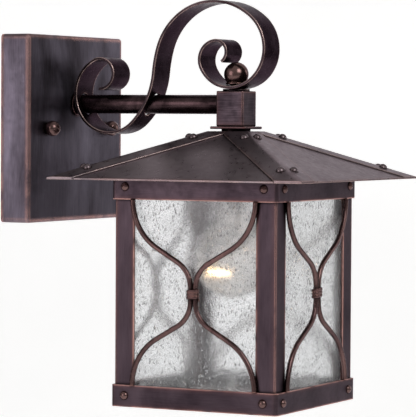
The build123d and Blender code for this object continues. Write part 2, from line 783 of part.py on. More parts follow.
def make_leads():
    leads = []
    connectors = []
    for side in (-1, 1):
        x = side * lead_side
        leads.append(lead_tube([
            (side * lead_splay, -lead_depth, connector_top),
            (side * lead_splay, -lead_depth, connector_top + lead_straight),
            (x, -lead_depth, connector_top + lead_gather),
            (x, -lead_depth, arm_height),
            (x, -arm_reach, arm_height),
            (x, -arm_reach, holder_top),
        ], lead_diameter, lead_bend))
        connectors.append(connector(side * lead_splay, lead_depth))
    parts["holder_leads"] = leads
    head_front = -bar_thickness - ground_head_height
    parts["earth_lead"] = lead_tube([
        (earth_side, -earth_depth, connector_top),
        (earth_side, -earth_depth, connector_top + earth_straight),
        (ground_screw_x, -earth_depth, 0),
        (ground_screw_x, head_front, 0),
    ], earth_diameter, lead_bend)
    connectors.append(connector(earth_side, earth_depth))
    parts["wire_connectors"] = connectors


def write_parts():
    os.makedirs("parts", exist_ok=True)
    for name, shape in parts.items():
        if isinstance(shape, list):
            shape = Compound(children=[piece.solid() for piece in shape])
        export_step(shape, f"parts/{name}.step")
    print(len(parts), "nodes written")


make_pan()
make_gasket()
make_crossbar()
make_studs()
make_cap_nuts()
make_ground_screw()
make_arm()
make_hub()
make_finial()
make_nipple()
make_scroll()
make_roof()
make_cage()
make_glass()
make_grille()
make_holder()
make_bulb()
make_leads()
write_parts()
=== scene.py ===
# %% [markdown]
# # Outdoor wall lantern
# The measured model of the lantern is loaded first and is never moved: every finish and
# every new piece below is placed from its boxes, in metres, with the wall at Y = 0 and the
# lantern standing out along -Y.

# %% Load the measured model
import math
import random

import bmesh
import bpy
from mathutils import Matrix, Vector


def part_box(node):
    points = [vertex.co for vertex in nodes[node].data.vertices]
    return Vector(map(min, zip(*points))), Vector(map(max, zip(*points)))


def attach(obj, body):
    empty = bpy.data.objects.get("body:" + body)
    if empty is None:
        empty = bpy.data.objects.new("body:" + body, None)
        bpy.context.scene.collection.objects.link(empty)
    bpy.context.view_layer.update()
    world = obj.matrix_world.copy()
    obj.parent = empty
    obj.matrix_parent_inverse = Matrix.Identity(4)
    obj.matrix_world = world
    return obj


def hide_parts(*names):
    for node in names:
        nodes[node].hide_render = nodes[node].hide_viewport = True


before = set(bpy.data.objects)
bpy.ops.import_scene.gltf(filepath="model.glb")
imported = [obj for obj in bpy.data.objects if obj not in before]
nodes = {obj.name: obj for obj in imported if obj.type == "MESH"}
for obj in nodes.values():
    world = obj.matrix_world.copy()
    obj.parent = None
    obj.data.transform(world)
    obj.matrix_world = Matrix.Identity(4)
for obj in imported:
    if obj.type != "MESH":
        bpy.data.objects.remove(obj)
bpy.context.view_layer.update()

# %% [markdown]
# ## Camera
# The lantern is seen from its left front, nearly level, from two metres away with a long
# lens, so that the cage keeps its upright edges.  The camera is set up from the point it
# looks at, its turn and lift round that point, and its distance.

# %% Camera
aim = Vector((0.0, -0.1371, -0.0587))
view_turn = math.radians(-62.6)
view_lift = math.radians(2.016)
view_roll = math.radians(0.34)
view_distance = 1.913
frame_width = 36.0
lens_length = 222.97

camera_data = bpy.data.cameras.new("view")
camera_data.sensor_fit = "HORIZONTAL"
camera_data.sensor_width = frame_width
camera_data.lens = lens_length
camera = bpy.data.objects.new("view", camera_data)
bpy.context.scene.collection.objects.link(camera)
back = Vector((
    math.sin(view_turn) * math.cos(view_lift),
    -math.cos(view_turn) * math.cos(view_lift),
    math.sin(view_lift),
))
level = Vector((math.cos(view_turn), math.sin(view_turn), 0.0))
up = back.cross(level)
across = level * math.cos(view_roll) + up * math.sin(view_roll)
upright = up * math.cos(view_roll) - level * math.sin(view_roll)
camera.matrix_world = Matrix.Translation(aim + back * view_distance) @ Matrix(
    (across, upright, back)
).transposed().to_4x4()
bpy.context.scene.camera = camera
print("camera at", [round(value, 4) for value in camera.matrix_world.translation])

# %% [markdown]
# ## Node helpers
# Light and finishes are both chains of nodes.  Noise makes an uneven value, a range or a
# ramp shapes it, and it ends in a colour, a roughness or a strength.  Each helper makes one
# link of such a chain, so that the recipes further down read like a list of steps.

# %% Node helpers
socket_kinds = {"value": "NodeSocketFloat", "vector": "NodeSocketVector"}
white = (1.0, 1.0, 1.0)


def feed(tree, socket, value):
    """Link a socket to another node, or give it a fixed value."""
    if isinstance(value, bpy.types.NodeSocket):
        tree.links.new(value, socket)
    else:
        socket.default_value = value


def make_group(name, inputs, outputs):
    """An empty node group with its named value and vector sockets."""
    group = bpy.data.node_groups.new(name, "ShaderNodeTree")
    for label, kind, default in inputs:
        socket = group.interface.new_socket(name=label, in_out="INPUT", socket_type=socket_kinds[kind])
        if default is not None:
            socket.default_value = default
    for label, kind in outputs:
        group.interface.new_socket(name=label, in_out="OUTPUT", socket_type=socket_kinds[kind])
    return group, group.nodes.new("NodeGroupInput"), group.nodes.new("NodeGroupOutput")


def add_node(tree, kind, settings=None, **values):
    """A node with its settings and inputs: i0 is its first socket, From_Min the one of that name."""
    node = tree.nodes.new(kind)
    for key, value in (settings or {}).items():
        setattr(node, key, value)
    for key, value in values.items():
        counted = key[0] == "i" and key[1:].isdigit()
        feed(tree, node.inputs[int(key[1:]) if counted else key.replace("_", " ")], value)
    return node


def ramp(tree, source, stops):
    """A colour from a value, by a list of (place, colour)."""
    node = add_node(tree, "ShaderNodeValToRGB", Fac=source)
    elements = node.color_ramp.elements
    while len(elements) < len(stops):
        elements.new(0.5)
    for element, (place, colour) in zip(elements, stops):
        element.position = place
        element.color = (*colour, 1.0)
    return node.outputs["Color"]


def in_range(tree, value, old, new=(0.0, 1.0), clamp=True):
    """A value moved from its old range to a new one."""
    node = add_node(tree, "ShaderNodeMapRange", {"clamp": clamp}, Value=value,
                    From_Min=old[0], From_Max=old[1], To_Min=new[0], To_Max=new[1])
    return node.outputs["Result"]


def maths(tree, operation, first, second, clamp=False):
    """One sum on two values.  Clamped, it stays between 0 and 1."""
    settings = {"operation": operation, "use_clamp": clamp}
    return add_node(tree, "ShaderNodeMath", settings, i0=first, i1=second).outputs["Value"]


def mix(tree, share, below, above, blend="MIX"):
    """Two colours mixed.  A Mix node takes colours in sockets 6 and 7 and gives one in 2."""
    settings = {"data_type": "RGBA", "blend_type": blend}
    return add_node(tree, "ShaderNodeMix", settings, i0=share, i6=below, i7=above).outputs[2]


def scaled(tree, vector, factors):
    """Coordinates multiplied axis by axis.  A small factor draws a pattern out along its axis."""
    node = add_node(tree, "ShaderNodeVectorMath", {"operation": "MULTIPLY"}, i0=vector, i1=factors)
    return node.outputs["Vector"]


def noise(tree, vector, scale, **shape):
    """Soft noise, mostly between 0.3 and 0.7."""
    return add_node(tree, "ShaderNodeTexNoise", Vector=vector, Scale=scale, **shape).outputs["Fac"]


print("node helpers ready")

# %% [markdown]
# ## Studio
# Dark metal shows what stands round it, so the light is three large soft panels and a room
# that is pale above and grey below.  The backdrop seen directly, or through the glass, is
# plain white, which is how a lantern is shown in a catalogue.  The colours stay plain, with
# no film curve, so that white is white.

# %% Studio light
room_strength = 0.50
room_below = (0.10, 0.10, 0.11)
room_above = (1.0, 0.99, 0.97)
room_top = 0.9

scene = bpy.context.scene
scene.view_settings.view_transform = "Standard"
world = bpy.data.worlds.new("studio")
scene.world = world
world.use_nodes = True
tree = world.node_tree
tree.nodes.clear()
direction = tree.nodes.new("ShaderNodeTexCoord").outputs["Generated"]
height = add_node(tree, "ShaderNodeSeparateXYZ", Vector=direction).outputs["Z"]
shade = ramp(tree, in_range(tree, height, (-1.0, 1.0)), [(0.0, room_below), (room_top, room_above)])
room = add_node(tree, "ShaderNodeBackground", Color=shade, Strength=room_strength)
backdrop = add_node(tree, "ShaderNodeBackground", Color=(*white, 1.0), Strength=1.0)
path = tree.nodes.new("ShaderNodeLightPath")
seen = maths(tree, "MAXIMUM", path.outputs["Is Camera Ray"], path.outputs["Is Transmission Ray"])
choose = add_node(tree, "ShaderNodeMixShader", i0=seen, i1=room.outputs["Background"],
                  i2=backdrop.outputs["Background"])
add_node(tree, "ShaderNodeOutputWorld", Surface=choose.outputs["Shader"])


def soft_panel(name, spot, size, power, tint=white):
    """A square area light that faces the aim point."""
    light = bpy.data.lights.new(name, "AREA")
    light.shape = "SQUARE"
    light.size = size
    light.energy = power
    light.color = tint
    panel = bpy.data.objects.new(name, light)
    scene.collection.objects.link(panel)
    panel.location = spot
    panel.rotation_euler = (Vector(spot) - aim).to_track_quat("Z", "Y").to_euler()


soft_panel("key_panel", (-0.9, -1.5, 1.1), 1.0, 13.0)
soft_panel("side_panel", (-1.75, 0.75, 0.35), 1.1, 7.2, (1.0, 0.91, 0.94))
soft_panel("front_panel", (1.1, -1.5, 0.3), 0.9, 4.0)

# %% [markdown]
# ## Piece helpers
# Every new piece starts as a plain shape.  Some of its points, edges or faces are chosen and
# moved in edit mode, and then it is closed again.  Its place ends up in its mesh, because all
# pieces of the lantern share one origin at the wall.

# %% Piece helpers
def select_only(piece):
    """Make one object the only selected one, and the active one."""
    bpy.ops.object.select_all(action="DESELECT")
    piece.select_set(True)
    bpy.context.view_layer.objects.active = piece


def choose_where(piece, kind, test):
    """Select the vertices, edges or faces of the edited mesh that pass a test."""
    bpy.ops.mesh.select_all(action="DESELECT")
    mesh = bmesh.from_edit_mesh(piece.data)
    for item in getattr(mesh, kind):
        item.select_set(test(item))
    mesh.select_flush_mode()
    bmesh.update_edit_mesh(piece.data)


def start_piece(name):
    """Name the shape just added and open it for editing."""
    piece = bpy.context.active_object
    select_only(piece)
    bpy.ops.object.transform_apply(location=True, rotation=True, scale=True)
    piece.name = name
    piece.data.name = name
    bpy.ops.object.mode_set(mode="EDIT")
    return piece


def close_piece(piece, smooth=35.0):
    """Leave edit mode and shade the rounded faces smoothly."""
    bpy.ops.object.mode_set(mode="OBJECT")
    bpy.ops.object.shade_smooth_by_angle(angle=math.radians(smooth))
    piece.select_set(False)


def apply_all(piece):
    """Apply every modifier of a piece, in order."""
    select_only(piece)
    for modifier in list(piece.modifiers):
        bpy.ops.object.modifier_apply(modifier=modifier.name)
    piece.select_set(False)


print("piece helpers ready")

# %% [markdown]
# ## Floor
# The lantern hangs on a wall, so the floor lies well below it.  It is one pale sheet that
# is bent up behind the lantern, the way a paper roll is hung in a studio, so no line shows
# where the floor ends.  A plane is extruded upwards in small turns to make the bend.

# %% Floor
floor_height = -1.1
floor_half = 5.0
sweep_radius = 1.2
sweep_steps = 10
sweep_rise = 5.0
far_line = floor_half - 0.01

bpy.ops.object.select_all(action="DESELECT")
bpy.ops.mesh.primitive_plane_add(
    size=2 * floor_half, location=(0, 0, floor_height), rotation=(0, 0, view_turn))
floor = start_piece("floor")
away = Vector((-back.x, -back.y, 0.0)).normalized()
choose_where(floor, "edges", lambda edge: all(vertex.co.dot(away) > far_line for vertex in edge.verts))
step = sweep_radius * math.pi / 2 / sweep_steps
for number in range(sweep_steps):
    lean = math.pi / 2 * (number + 0.5) / sweep_steps
    move = away * step * math.cos(lean) + Vector((0, 0, step * math.sin(lean)))
    bpy.ops.mesh.extrude_region_move(TRANSFORM_OT_translate={"value": move})
bpy.ops.mesh.extrude_region_move(TRANSFORM_OT_translate={"value": (0, 0, sweep_rise)})
close_piece(floor)
print("floor at", floor_height)

# %% [markdown]
# ## Cloudy tone
# Four effects come back in the finishes, so each is a small group of nodes with named inputs
# that every finish sets for itself.  The first is the uneven colour of a metal that was
# darkened by hand: broad clouds, which can be drawn out along an axis, and small flecks.

# %% Cloudy tone
cloudy, given, result = make_group(
    "cloudy_tone",
    [("Vector", "vector", None), ("Patch", "value", 18.0), ("Fleck", "value", 160.0),
     ("Flow", "value", 1.0), ("Stretch", "vector", (1.0, 1.0, 1.0))],
    [("Tone", "value"), ("Fleck", "value")],
)
drawn = scaled(cloudy, given.outputs["Vector"], given.outputs["Stretch"])
broad = noise(cloudy, drawn, given.outputs["Patch"], Detail=4.0, Roughness=0.55,
              Distortion=given.outputs["Flow"])
small = noise(cloudy, given.outputs["Vector"], given.outputs["Fleck"], Detail=3.0, Roughness=0.6)
feed(cloudy, result.inputs["Tone"], in_range(cloudy, broad, (0.32, 0.68)))
feed(cloudy, result.inputs["Fleck"], small)
print("cloudy tone", len(cloudy.nodes), "nodes")

# %% [markdown]
# ## Rubbed edges
# Handling rubs the dark layer thin on the corners.  A Bevel node tells which way a rounded
# corner would face, and where that differs from the true face there is an edge.  A coarse
# noise breaks the line, because no edge is rubbed evenly.  The rounded direction is given
# out too, so that a sharp corner still catches a thin line of light.

# %% Rubbed edges
rubbed, given, result = make_group(
    "rubbed_edges",
    [("Vector", "vector", None), ("Radius", "value", 0.0009), ("Reach", "value", 6.0),
     ("Patch", "value", 60.0)],
    [("Mask", "value"), ("Normal", "vector")],
)
rounded = add_node(rubbed, "ShaderNodeBevel", {"samples": 8}, Radius=given.outputs["Radius"])
true_face = rubbed.nodes.new("ShaderNodeNewGeometry")
alike = add_node(rubbed, "ShaderNodeVectorMath", {"operation": "DOT_PRODUCT"},
                 i0=rounded.outputs["Normal"], i1=true_face.outputs["Normal"])
differs = maths(rubbed, "SUBTRACT", 1.0, alike.outputs["Value"])
strong = maths(rubbed, "MULTIPLY", differs, given.outputs["Reach"], clamp=True)
broken = noise(rubbed, given.outputs["Vector"], given.outputs["Patch"], Detail=3.0)
worn = maths(rubbed, "MULTIPLY", strong, in_range(rubbed, broken, (0.28, 0.52)), clamp=True)
feed(rubbed, result.inputs["Mask"], worn)
feed(rubbed, result.inputs["Normal"], rounded.outputs["Normal"])
print("rubbed edges", len(rubbed.nodes), "nodes")

# %% [markdown]
# ## Painted shade in crevices
# Where two parts meet and round the rivets, the colour is darkened as painted shade.  Ambient
# occlusion tells how much of the space close by is open, and the finish is darkened where
# little is.

# %% Painted shade in crevices
crevices, given, result = make_group("painted_crevice_shade", [("Reach", "value", 0.0015)], [("Open", "value")])
space = add_node(crevices, "ShaderNodeAmbientOcclusion", {"samples": 6}, Distance=given.outputs["Reach"])
feed(crevices, result.inputs["Open"], in_range(crevices, space.outputs["AO"], (0.50, 0.95), (0.12, 1.0)))
print("dark crevices", len(crevices.nodes), "nodes")

# %% [markdown]
# ## Fine grain
# Sheet, bar and tube keep faint lines from rolling and brushing under their colour.  The
# lines are fine noise drawn out along one axis, and each finish says which way they run.

# %% Fine grain
grain, given, result = make_group(
    "fine_grain",
    [("Vector", "vector", None), ("Scale", "value", 900.0), ("Along", "vector", (1.0, 1.0, 0.06))],
    [("Height", "value")],
)
stretched = scaled(grain, given.outputs["Vector"], given.outputs["Along"])
lines = noise(grain, stretched, given.outputs["Scale"], Detail=2.0, Roughness=0.7)
feed(grain, result.inputs["Height"], lines)
print("node groups", [group.name for group in bpy.data.node_groups])

# %% [markdown]
# ## Bronze finishes
# The lantern is steel and brass under an oil-rubbed bronze colour: nearly black brown, with
# copper showing where it was rubbed.  One function builds the finish, and each kind of part
# gets its own values.  The pan is cloudy, the roof is paler and brushed level, the posts and
# bands have bright edges, and the rods and balls are redder and shinier.  Each layer is laid
# on by a mask: colour, a painted highlight along the folds, rubbing, then painted shade in corners.

# %% Bronze
# The reddish colour of a painted highlight laid along the rounded folds.
painted_fold_glow = (0.20, 0.085, 0.075)
fleck_range = (0.3, 0.7)
fold_glow_radius = 0.006
# How far from a crevice the painted shade reaches.
painted_shade_reach = 0.0025
brushing_depth = 0.00015
bronze_metal = 0.95


def new_material(name):
    """A material with an empty Principled surface, and its object coordinates."""
    material = bpy.data.materials.new(name)
    material.use_nodes = True
    tree = material.node_tree
    tree.nodes.clear()
    surface = tree.nodes.new("ShaderNodeBsdfPrincipled")
    add_node(tree, "ShaderNodeOutputMaterial", Surface=surface.outputs["BSDF"])
    place = tree.nodes.new("ShaderNodeTexCoord").outputs["Object"]
    return material, tree, surface, place


def place_group(tree, group, **values):
    """One of the shared effects, with this finish's values."""
    node = tree.nodes.new("ShaderNodeGroup")
    node.node_tree = group
    for key, value in values.items():
        feed(tree, node.inputs[key], value)
    return node


def bronze(name, dark, light, copper, rub=0.8, shine=0.34, patch=16.0, along=(1.0, 1.0, 0.06),
           edge=0.0012, reach=9.0, fold_glow=0.5, stretch=(1.0, 1.0, 1.0), streaks=0.3,
           sheen=(0.80, 0.75, 0.79)):
    """Oil-rubbed bronze: clouds of two tones, a painted reddish highlight along the folds, copper on the
    rubbed edges.
    """
    material, tree, surface, place = new_material(name)
    clouds = place_group(tree, cloudy, Vector=place, Patch=patch, Fleck=220.0, Flow=0.6, Stretch=stretch)
    edges = place_group(tree, rubbed, Vector=place, Radius=edge, Reach=reach, Patch=70.0)
    bends = place_group(tree, rubbed, Vector=place, Radius=fold_glow_radius, Reach=2.5, Patch=35.0)
    crevice_shade = place_group(tree, crevices, Reach=painted_shade_reach)
    brushing = place_group(tree, grain, Vector=place, Scale=1100.0, Along=along).outputs["Height"]
    streak = in_range(tree, brushing, (0.0, 1.0), (-streaks, streaks), clamp=False)
    uneven = maths(tree, "ADD", clouds.outputs["Tone"], streak, clamp=True)
    tone = ramp(tree, uneven, [(0.0, dark), (1.0, light)])
    # Painted highlight: a reddish glow mixed into the colour along the rounded folds.
    fold_glow_share = maths(tree, "MULTIPLY", bends.outputs["Mask"], fold_glow)
    fold_glowed = mix(tree, fold_glow_share, tone, (*painted_fold_glow, 1.0))
    on_edge = maths(tree, "MULTIPLY", edges.outputs["Mask"], rub)
    coppered = mix(tree, on_edge, fold_glowed, (*copper, 1.0))
    # Painted shade: the colour is multiplied darker in crevices and round rivets, where shade falls.
    shaded_colour = mix(tree, 1.0, coppered, crevice_shade.outputs["Open"], "MULTIPLY")
    gloss = in_range(tree, clouds.outputs["Fleck"], fleck_range, (shine - 0.06, shine + 0.10))
    bump = add_node(tree, "ShaderNodeBump", Strength=0.2, Distance=brushing_depth, Height=brushing,
                    Normal=edges.outputs["Normal"])
    feed(tree, surface.inputs["Base Color"], shaded_colour)
    feed(tree, surface.inputs["Roughness"], gloss)
    feed(tree, surface.inputs["Normal"], bump.outputs["Normal"])
    surface.inputs["Metallic"].default_value = bronze_metal
    surface.inputs["Specular Tint"].default_value = (*sheen, 1.0)
    return material


salmon = (0.98, 0.55, 0.48)
pale_copper = (0.68, 0.50, 0.46)
bronze_pan = bronze("bronze_pan", (0.014, 0.010, 0.013), (0.190, 0.170, 0.214), salmon, rub=1.0,
                    patch=15.0, edge=0.0042, reach=9.0, fold_glow=0.35, stretch=(1.0, 1.0, 0.45), streaks=0.25)
bronze_sheet = bronze("bronze_sheet", (0.190, 0.156, 0.168), (0.315, 0.268, 0.284), pale_copper, rub=0.8,
                      shine=0.31, along=(0.06, 0.06, 1.0), edge=0.0007, reach=12.0, fold_glow=0.45,
                      sheen=(0.52, 0.48, 0.51))
bronze_post = bronze("bronze_post", (0.036, 0.025, 0.032), (0.096, 0.069, 0.084), salmon, rub=1.0,
                     patch=22.0, edge=0.0025, reach=8.0, fold_glow=0.5, stretch=(1.0, 1.0, 0.5))
bronze_band = bronze("bronze_band", (0.036, 0.025, 0.032), (0.096, 0.069, 0.084), salmon, rub=0.65,
                     patch=22.0, along=(0.06, 0.06, 1.0), edge=0.0018, reach=8.0, fold_glow=0.5)
bronze_hub = bronze("bronze_hub", (0.026, 0.019, 0.024), (0.082, 0.062, 0.074), salmon, rub=0.9, patch=40.0,
                    along=(0.06, 0.06, 1.0), edge=0.0018, reach=7.0, fold_glow=0.6, streaks=0.9)
bronze_strap = bronze("bronze_strap", (0.014, 0.0095, 0.012), (0.046, 0.032, 0.040), pale_copper, rub=0.8,
                      shine=0.27, patch=26.0, along=(0.05, 1.0, 1.0), fold_glow=0.15, sheen=(0.50, 0.46, 0.49))
bronze_arm = bronze("bronze_arm", (0.014, 0.008, 0.009), (0.085, 0.052, 0.056), salmon, rub=0.8,
                    shine=0.26, patch=60.0, along=(1.0, 0.05, 1.0), fold_glow=0.3, streaks=0.5)
bronze_turned = bronze("bronze_turned", (0.070, 0.041, 0.041), (0.165, 0.098, 0.092), (0.66, 0.36, 0.30),
                       rub=0.5, shine=0.22, patch=35.0, fold_glow=0.2)
bronze_ball = bronze("bronze_ball", (0.110, 0.066, 0.062), (0.180, 0.108, 0.100), (0.62, 0.32, 0.25),
                     rub=0.3, shine=0.19, patch=20.0, fold_glow=0.0, streaks=0.1)
bronze_rivet = bronze("bronze_rivet", (0.105, 0.080, 0.086), (0.160, 0.126, 0.134), pale_copper,
                      rub=0.3, shine=0.22, patch=30.0, fold_glow=0.0, streaks=0.1)
print("bronze finishes", [item.name for item in bpy.data.materials if item.name.startswith("bronze")])

# %% [markdown]
# ## Plain metals, porcelain, rubber and plastic
# The pieces that hold the lantern together are plated steel, the lampholder is white
# porcelain with a brass sleeve, and the leads are covered copper.  Each is one call of the
# same small recipe with its own colour spread, roughness and bump.

# %% Plain finishes
def plain_finish(name, dark, light, rough, metallic=0.0, patch=40.0, bump_depth=0.00005, coat=0.0):
    """A finish with two close tones in clouds, uneven gloss and a fine bump."""
    material, tree, surface, place = new_material(name)
    clouds = place_group(tree, cloudy, Vector=place, Patch=patch, Fleck=12 * patch, Flow=0.3)
    fleck = clouds.outputs["Fleck"]
    bump = add_node(tree, "ShaderNodeBump", Strength=0.3, Distance=bump_depth, Height=fleck)
    feed(tree, surface.inputs["Base Color"], ramp(tree, clouds.outputs["Tone"], [(0.0, dark), (1.0, light)]))
    feed(tree, surface.inputs["Roughness"], in_range(tree, fleck, fleck_range, (rough * 0.8, rough * 1.25)))
    feed(tree, surface.inputs["Normal"], bump.outputs["Normal"])
    surface.inputs["Metallic"].default_value = metallic
    surface.inputs["Coat Weight"].default_value = coat
    return material


zinc = plain_finish("zinc_plate", (0.42, 0.43, 0.44), (0.62, 0.62, 0.60), 0.34, 1.0)
brass = plain_finish("plain_brass", (0.55, 0.38, 0.14), (0.78, 0.58, 0.27), 0.28, 1.0)
nickel = plain_finish("dull_nickel", (0.50, 0.49, 0.46), (0.70, 0.68, 0.63), 0.26, 1.0)
porcelain = plain_finish("white_porcelain", (0.80, 0.79, 0.75), (0.90, 0.89, 0.86), 0.22, coat=0.4)
foam = plain_finish("foam_rubber", (0.012, 0.012, 0.013), (0.035, 0.035, 0.036), 0.85, patch=180.0,
                    bump_depth=0.0004)
black_cover = plain_finish("black_lead_cover", (0.010, 0.010, 0.011), (0.022, 0.022, 0.024), 0.45)
green_cover = plain_finish("green_lead_cover", (0.010, 0.085, 0.022), (0.020, 0.130, 0.040), 0.42)
orange_cap = plain_finish("orange_connector", (0.55, 0.17, 0.015), (0.68, 0.24, 0.03), 0.38)
print("plain finishes made")

# %% [markdown]
# ## Studio paper
# The floor is matt white paper.  It glows a little, so that it stays as white as the
# backdrop where the panels don't reach it.

# %% Studio paper
paper_glow = 0.45
studio_paper = plain_finish("studio_paper", (0.86, 0.86, 0.86), (0.90, 0.90, 0.90), 0.9, patch=2.0)
paper_surface = studio_paper.node_tree.nodes["Principled BSDF"]
paper_surface.inputs["Emission Color"].default_value = (*white, 1.0)
paper_surface.inputs["Emission Strength"].default_value = paper_glow
floor.data.materials.append(studio_paper)
print("paper on", floor.name)

# %% [markdown]
# ## Glass
# Seeded glass is poured with air bubbles left in it.  The bubbles stretch as the sheet is
# drawn, and the faces stay gently uneven.  The finish has the unevenness as a bump in two
# sizes.  The bubbles are real and come later, as small shapes in the panes, and their finish
# bends light the other way, because they are air inside glass.  The bulb's glass is duller.

# %% Glass finishes
glass_bend = 1.5
bubble_bend = 0.62


def glass_finish(name, tint, pale, rough, ripple, ripple_size, seed_depth, seed_size, clear):
    """Clear glass with soft waves, small flecks of a darker tone and uneven polish."""
    material, tree, surface, place = new_material(name)
    clouds = place_group(tree, cloudy, Vector=place, Patch=ripple_size, Fleck=seed_size, Flow=1.2)
    tone, fleck = clouds.outputs["Tone"], clouds.outputs["Fleck"]
    wave = add_node(tree, "ShaderNodeBump", Strength=1.0, Distance=ripple, Height=tone)
    flecks = add_node(tree, "ShaderNodeBump", Strength=1.0, Distance=seed_depth, Height=fleck,
                      Normal=wave.outputs["Normal"])
    feed(tree, surface.inputs["Base Color"], ramp(tree, fleck, [(0.36, tint), (0.43, pale), (0.58, white)]))
    feed(tree, surface.inputs["Roughness"], in_range(tree, tone, (0.0, 1.0), (rough * 0.6, rough * 1.5)))
    feed(tree, surface.inputs["Normal"], flecks.outputs["Normal"])
    surface.inputs["Transmission Weight"].default_value = clear
    surface.inputs["IOR"].default_value = glass_bend
    surface.inputs["Metallic"].default_value = 0.0
    return material


seeded_glass = glass_finish("seeded_glass", tint=(0.54, 0.56, 0.59), pale=(0.93, 0.94, 0.95), rough=0.02,
                            ripple=0.0001, ripple_size=40.0, seed_depth=0.00005, seed_size=1300.0,
                            clear=0.94)
bulb_glass = glass_finish("bulb_glass", tint=(0.95, 0.94, 0.92), pale=(0.97, 0.96, 0.95), rough=0.24,
                          ripple=0.0001, ripple_size=30.0, seed_depth=0.00002, seed_size=300.0,
                          clear=0.90)

bubble_air, tree, surface, place = new_material("bubble_air")
clouds = place_group(tree, cloudy, Vector=place, Patch=400.0, Fleck=1500.0)
paleness = ramp(tree, clouds.outputs["Tone"], [(0.0, (0.90, 0.91, 0.92)), (1.0, white)])
feed(tree, surface.inputs["Base Color"], paleness)
feed(tree, surface.inputs["Roughness"], in_range(tree, clouds.outputs["Fleck"], (0.0, 1.0), (0.02, 0.08)))
surface.inputs["Transmission Weight"].default_value = 1.0
surface.inputs["IOR"].default_value = bubble_bend
print("glass bends light by", glass_bend)

# %% [markdown]
# ## Lit filament
# The lantern is shown lit.  A tungsten filament glows warm white, a little unevenly along its
# length, so its colour is a ramp between two warm tones.

# %% Lit filament
filament_glow = 34.0
glow, tree, surface, place = new_material("lit_filament")
clouds = place_group(tree, cloudy, Vector=place, Patch=120.0, Fleck=900.0)
heat = ramp(tree, clouds.outputs["Tone"], [(0.0, (1.0, 0.62, 0.28)), (1.0, (1.0, 0.80, 0.50))])
feed(tree, surface.inputs["Emission Color"], heat)
feed(tree, surface.inputs["Base Color"], heat)
surface.inputs["Emission Strength"].default_value = filament_glow
surface.inputs["Roughness"].default_value = 0.5
print("filament glows at", filament_glow)

# %% [markdown]
# ## Finishes on the measured pieces
# The sheet metal, strap, rods, rivets and fittings keep their measured shapes.  Only the
# material in their slots changes.

# %% Assign finishes
finishes = {
    bronze_pan: ["wall_pan"],
    bronze_sheet: ["roof_shell", "hip_strip_"],
    bronze_hub: ["hub_block", "square_plate"],
    bronze_post: ["corner_post_"],
    bronze_band: ["top_band", "bottom_band"],
    bronze_strap: ["scroll_strap", "scroll_spacer", "neck_ring", "holder_cap"],
    bronze_arm: ["arm_tube", "arm_collar"],
    bronze_turned: ["grille_rod_", "rod_collar_"],
    bronze_ball: ["cap_nut_", "ball_finial", "cage_rivets"],
    bronze_rivet: ["roof_rivets"],
    zinc: ["crossbar", "mounting_studs", "stud_nuts", "arm_lock_nut", "finial_bolt", "roof_nipple",
           "nipple_nut", "glass_clips"],
    brass: ["holder_shell", "holder_contact"],
    nickel: ["bulb_cap"],
    porcelain: ["holder_body"],
    foam: ["pan_gasket"],
    black_cover: ["holder_leads"],
    green_cover: ["earth_lead", "ground_screw"],
    orange_cap: ["wire_connectors"],
    seeded_glass: ["glass_pane_"],
    bulb_glass: ["bulb_globe"],
    glow: ["bulb_stem"],
}


def give_finish(piece, material):
    """Put one material in every slot of a piece."""
    if not piece.material_slots:
        piece.data.materials.append(material)
    for place in piece.material_slots:
        place.material = material


finished = set()
for material, starts in finishes.items():
    for name, piece in nodes.items():
        if any(name.startswith(start) for start in starts):
            give_finish(piece, material)
            finished.add(name)
print("nodes without a finish", sorted(set(nodes) - finished))

# %% [markdown]
# ## Turned and wound pieces
# Round parts of the lantern were turned on a lathe.  The same is done here: a circle is
# extruded ring by ring, each ring is given its radius, and the ends are closed.  A thread is
# then cut by moving each point in or out by its height and its angle together, which is what
# makes it a real helix and not a stack of rings.  Wire is wound by a Screw modifier, which
# carries a small outline round and up.

# %% Turning, threading and winding
lantern_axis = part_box("neck_ring")[0].lerp(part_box("neck_ring")[1], 0.5)
lantern_axis.z = 0.0


def turned(name, rings, corners):
    """A solid round Z at the origin, from (radius, height) rings, bottom to top."""
    bpy.ops.object.select_all(action="DESELECT")
    first_radius, first_height = rings[0]
    bpy.ops.mesh.primitive_circle_add(
        vertices=corners, radius=first_radius, location=(0, 0, first_height), fill_type="NGON")
    piece = start_piece(name)
    radius, height = first_radius, first_height
    bpy.ops.mesh.select_all(action="SELECT")
    for next_radius, next_height in rings[1:]:
        bpy.ops.mesh.extrude_region_move(TRANSFORM_OT_translate={"value": (0, 0, next_height - height)})
        share = next_radius / radius
        bpy.ops.transform.resize(value=(share, share, 1), center_override=(0, 0, next_height))
        radius, height = next_radius, next_height
    bpy.ops.mesh.select_all(action="SELECT")
    bpy.ops.mesh.normals_make_consistent(inside=False)
    return piece


def cut_thread(piece, low, high, depth, pitch, outside):
    """Press a rounded thread into the points between two heights, outside a given radius."""
    mesh = bmesh.from_edit_mesh(piece.data)
    for vertex in mesh.verts:
        reach = math.hypot(vertex.co.x, vertex.co.y)
        if low < vertex.co.z < high and reach > outside:
            angle = math.atan2(vertex.co.y, vertex.co.x)
            wave = 0.5 + 0.5 * math.cos(2 * math.pi * vertex.co.z / pitch - angle)
            share = (reach - depth * wave) / reach
            vertex.co.x *= share
            vertex.co.y *= share
    bmesh.update_edit_mesh(piece.data)


def stand(piece, spot, tilt=0.0):
    """Tilt a finished piece about X and move it, and leave its place in its mesh."""
    piece.data.transform(Matrix.Translation(spot) @ Matrix.Rotation(tilt, 4, "X"))


def hand_over(piece, material, body, stands_for):
    """Give a piece its finish and body, and hide the measured node that it stands for."""
    give_finish(piece, material)
    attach(piece, body)
    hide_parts(stands_for)
    print(piece.name, len(piece.data.polygons), "faces on", body)


